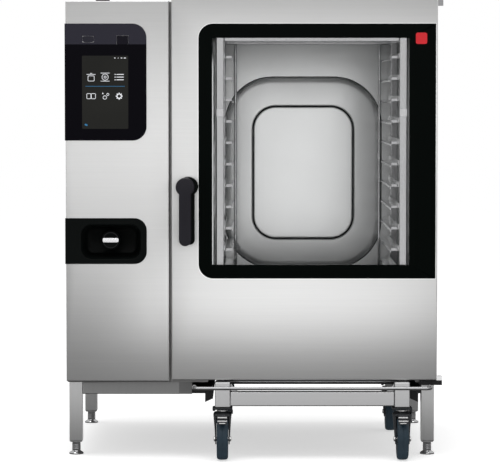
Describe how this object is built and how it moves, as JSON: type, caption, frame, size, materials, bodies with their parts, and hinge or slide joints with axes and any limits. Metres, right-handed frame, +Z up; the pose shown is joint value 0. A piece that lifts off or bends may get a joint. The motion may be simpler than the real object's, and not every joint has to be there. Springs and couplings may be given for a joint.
{
  "type": "combi steamer oven",
  "caption": "Floor-standing combi steamer: glazed door hinged on the right, control column on the left, and a roll-in rack on castors.",
  "frame": {"origin": "on the floor under the middle of the overall box", "axes": "+X to the right seen from the front, +Y to the back, +Z up; the door faces -Y"},
  "size_m": [1.135, 1.0494, 1.406],
  "materials": {
    "stainless": "brushed",
    "frame_steel": "satin",
    "chamber_steel": "polished",
    "bright_steel": "polished",
    "black_steel": "satin",
    "black_plastic": "satin",
    "black_glass": "gloss",
    "clear_glass": "clear",
    "lamp": "frosted",
    "seal_rubber": "matt",
    "mineral_wool": "fibrous",
    "grey_tyre": "satin"
  },
  "bodies": {
    "cabinet": {"stand_frame": "frame_steel", "trolley_guides": "black_steel", "side_panel_left": "stainless", "side_panel_right": "stainless", "top_panel": "stainless", "roof_vents": "black_steel", "bottom_panel": "stainless", "rear_panel": "stainless", "rear_fittings": "bright_steel", "panel_screws": "bright_steel", "column_front_panel": "stainless", "control_glass": "black_glass", "control_board": "black_plastic", "recess_bezel": "black_plastic", "reel_bracket": "black_steel", "front_frame": "stainless", "cavity_liner": "chamber_steel", "insulation": "mineral_wool", "air_baffle": "chamber_steel", "fan_motors": "black_steel", "heating_rings": "bright_steel", "steam_generator": "black_steel", "door_gasket": "seal_rubber", "hinge_brackets": "black_steel"},
    "door": {"door_skin": "stainless", "door_core": "mineral_wool", "door_outer_glass": "clear_glass", "door_inner_glass": "clear_glass", "door_light_strips": "lamp", "door_knuckles": "black_steel", "handle_rosette": "black_plastic"},
    "handle": {"handle_lever": "black_plastic", "latch_spindle": "black_steel"},
    "power_key": {"power_button": "black_plastic"},
    "port_cover": {"usb_cover": "black_plastic"},
    "hand_shower": {"shower_head": "black_plastic"},
    "shower_bar": {"shower_trigger": "bright_steel"},
    "reel": {"hose_reel": "black_plastic"},
    "upper_fan": {"fan_upper": "chamber_steel"},
    "lower_fan": {"fan_lower": "chamber_steel"},
    "trolley": {"trolley_base": "frame_steel", "pull_rod": "bright_steel", "rack_frame": "frame_steel", "rack_rails_left": "chamber_steel", "rack_rails_right": "chamber_steel", "sealing_plate": "chamber_steel"},
    "castor_front_left": {"castor_fork_front_left": "black_steel"},
    "wheel_front_left": {"castor_wheel_front_left": "grey_tyre"},
    "pedal_front_left": {"brake_pedal_front_left": "black_plastic"},
    "castor_front_right": {"castor_fork_front_right": "black_steel"},
    "wheel_front_right": {"castor_wheel_front_right": "grey_tyre"},
    "pedal_front_right": {"brake_pedal_front_right": "black_plastic"},
    "castor_back_left": {"castor_fork_back_left": "black_steel"},
    "wheel_back_left": {"castor_wheel_back_left": "grey_tyre"},
    "castor_back_right": {"castor_fork_back_right": "black_steel"},
    "wheel_back_right": {"castor_wheel_back_right": "grey_tyre"},
    "levelling_foot_front_left": {"foot_front_left": "bright_steel"},
    "levelling_foot_front_right": {"foot_front_right": "bright_steel"},
    "levelling_foot_back_left": {"foot_back_left": "bright_steel"},
    "levelling_foot_back_right": {"foot_back_right": "bright_steel"}
  },
  "joints": [
    {"name": "door_swing", "type": "hinge", "parent": "cabinet", "child": "door", "pos_m": [0.5585, -0.39525, 0.8], "axis": [0, 0, 1], "range_deg": [0, 170]},
    {"name": "handle_turn", "type": "hinge", "parent": "door", "child": "handle", "pos_m": [-0.198, -0.42625, 0.819], "axis": [0, 1, 0], "range_deg": [-90, 90]},
    {"name": "power_key_press", "type": "slide", "parent": "cabinet", "child": "power_key", "axis": [0, 1, 0], "range_m": [0, 0.0015], "stiffness_N_per_m": 800},
    {"name": "port_cover_flap", "type": "hinge", "parent": "cabinet", "child": "port_cover", "pos_m": [-0.394, -0.42505, 1.2694], "axis": [-1, 0, 0], "range_deg": [0, 100]},
    {"name": "shower_pull", "type": "slide", "parent": "cabinet", "child": "hand_shower", "axis": [0, -1, 0], "range_m": [0, 0.2]},
    {"name": "shower_bar_press", "type": "slide", "parent": "hand_shower", "child": "shower_bar", "axis": [0, 1, 0], "range_m": [0, 0.0035], "stiffness_N_per_m": 800},
    {"name": "hose_reel_spin", "type": "hinge", "parent": "cabinet", "child": "reel", "pos_m": [-0.4315, 0.00375, 0.577], "axis": [1, 0, 0], "range_deg": [0, 143.54]},
    {"name": "upper_fan_spin", "type": "hinge", "parent": "cabinet", "child": "upper_fan", "pos_m": [-0.175, 0.04575, 1.07375], "axis": [1, 0, 0], "continuous": true},
    {"name": "lower_fan_spin", "type": "hinge", "parent": "cabinet", "child": "lower_fan", "pos_m": [-0.175, 0.04575, 0.57125], "axis": [1, 0, 0], "continuous": true},
    {"name": "trolley_roll", "type": "slide", "parent": "cabinet", "child": "trolley", "axis": [0, -1, 0], "range_m": [0, 0.04]},
    {"name": "castor_swivel_front_left", "type": "hinge", "parent": "trolley", "child": "castor_front_left", "pos_m": [-0.095, -0.42625, 0.14], "axis": [0, 0, 1], "continuous": true},
    {"name": "wheel_spin_front_left", "type": "hinge", "parent": "castor_front_left", "child": "wheel_front_left", "pos_m": [-0.095, -0.46225, 0.0625], "axis": [1, 0, 0], "continuous": true},
    {"name": "brake_press_front_left", "type": "hinge", "parent": "castor_front_left", "child": "pedal_front_left", "pos_m": [-0.095, -0.45425, 0.1315], "axis": [1, 0, 0], "range_deg": [0, 12]},
    {"name": "castor_swivel_front_right", "type": "hinge", "parent": "trolley", "child": "castor_front_right", "pos_m": [0.445, -0.42625, 0.14], "axis": [0, 0, 1], "continuous": true},
    {"name": "wheel_spin_front_right", "type": "hinge", "parent": "castor_front_right", "child": "wheel_front_right", "pos_m": [0.445, -0.46225, 0.0625], "axis": [1, 0, 0], "continuous": true},
    {"name": "brake_press_front_right", "type": "hinge", "parent": "castor_front_right", "child": "pedal_front_right", "pos_m": [0.445, -0.45425, 0.1315], "axis": [1, 0, 0], "range_deg": [0, 12]},
    {"name": "castor_swivel_back_left", "type": "hinge", "parent": "trolley", "child": "castor_back_left", "pos_m": [-0.095, 0.30175, 0.14], "axis": [0, 0, 1], "continuous": true},
    {"name": "wheel_spin_back_left", "type": "hinge", "parent": "castor_back_left", "child": "wheel_back_left", "pos_m": [-0.095, 0.26575, 0.0625], "axis": [1, 0, 0], "continuous": true},
    {"name": "castor_swivel_back_right", "type": "hinge", "parent": "trolley", "child": "castor_back_right", "pos_m": [0.445, 0.30175, 0.14], "axis": [0, 0, 1], "continuous": true},
    {"name": "wheel_spin_back_right", "type": "hinge", "parent": "castor_back_right", "child": "wheel_back_right", "pos_m": [0.445, 0.26575, 0.0625], "axis": [1, 0, 0], "continuous": true},
    {"name": "foot_adjust_front_left", "type": "slide", "parent": "cabinet", "child": "levelling_foot_front_left", "axis": [0, 0, 1], "range_m": [-0.015, 0.025]},
    {"name": "foot_adjust_front_right", "type": "slide", "parent": "cabinet", "child": "levelling_foot_front_right", "axis": [0, 0, 1], "range_m": [-0.015, 0.025]},
    {"name": "foot_adjust_back_left", "type": "slide", "parent": "cabinet", "child": "levelling_foot_back_left", "axis": [0, 0, 1], "range_m": [-0.015, 0.025]},
    {"name": "foot_adjust_back_right", "type": "slide", "parent": "cabinet", "child": "levelling_foot_back_right", "axis": [0, 0, 1], "range_m": [-0.015, 0.025]}
  ],
  "couplings": [
    {"joint": "hose_reel_spin", "follows": "shower_pull", "rad_per_m": 12.5}
  ]
}
